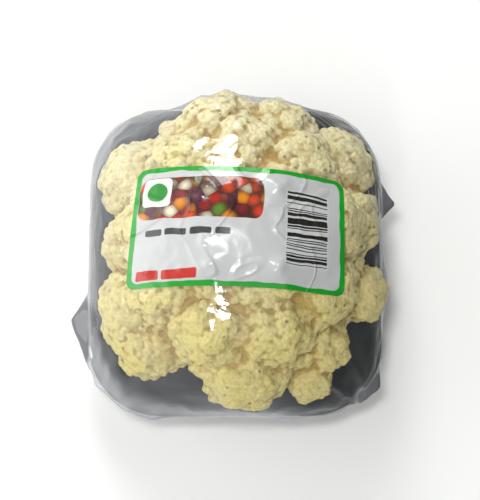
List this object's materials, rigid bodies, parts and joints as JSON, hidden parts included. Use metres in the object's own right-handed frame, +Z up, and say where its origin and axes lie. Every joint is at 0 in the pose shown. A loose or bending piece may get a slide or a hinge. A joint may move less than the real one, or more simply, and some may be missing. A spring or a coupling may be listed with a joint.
{
  "type": "film-wrapped cauliflower in a tray",
  "caption": "Trimmed cauliflower head in a shallow rounded square tray, overwrapped in clear stretch film with a rounded rectangular label over its top.",
  "frame": {"origin": "middle of the pack's footprint, on the surface it stands on", "axes": "+Z up; +Y towards the label's top edge; +X towards the label's right-hand end"},
  "size_m": [0.137, 0.1442, 0.0976],
  "materials": {
    "curd": "granular, moist, cream white",
    "tray_plastic": "black thermoformed plastic, satin",
    "stretch_film": "clear, glossy, lightly wrinkled",
    "label_print": "printed plastic film, satin"
  },
  "bodies": {
    "root": {"cauliflower_head": "curd", "tray": "tray_plastic", "film": "stretch_film", "label": "label_print"}
  },
  "joints": []
}
